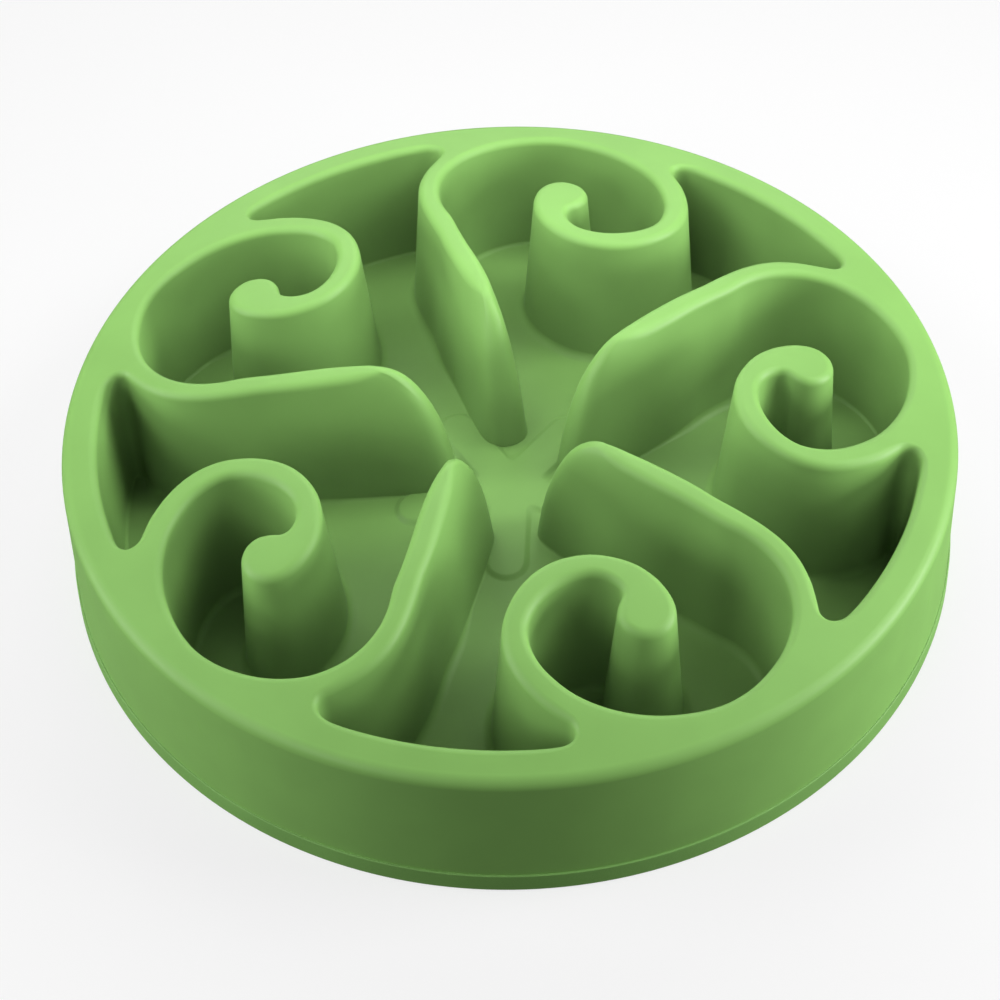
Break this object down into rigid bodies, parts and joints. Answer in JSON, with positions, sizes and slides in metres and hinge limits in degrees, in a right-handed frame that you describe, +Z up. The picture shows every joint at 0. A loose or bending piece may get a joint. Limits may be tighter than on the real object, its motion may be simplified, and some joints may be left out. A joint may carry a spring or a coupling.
{
  "type": "slow feeder bowl",
  "caption": "Round slow feeder bowl with a domed top, hooked swirl walls that part the food into pockets and channels, and a non-slip base ring.",
  "frame": {"origin": "middle of the bowl's footprint, on the surface that it stands on", "axes": "+Z up; +Y towards the swirl that lies at the back when the bowl is seen from the front, -Y towards the front"},
  "size_m": [0.2868, 0.2868, 0.0627],
  "materials": {
    "bowl": "satin-gloss moulded polypropylene, bright leaf green",
    "base_ring": "matt thermoplastic rubber, nearly the same green as the bowl"
  },
  "bodies": {
    "root": {"outer_wall": "bowl", "swirl_1": "bowl", "swirl_2": "bowl", "swirl_3": "bowl", "swirl_4": "bowl", "swirl_5": "bowl", "feeding_floor": "bowl", "floor_star": "bowl", "non_slip_ring": "base_ring"}
  },
  "joints": []
}
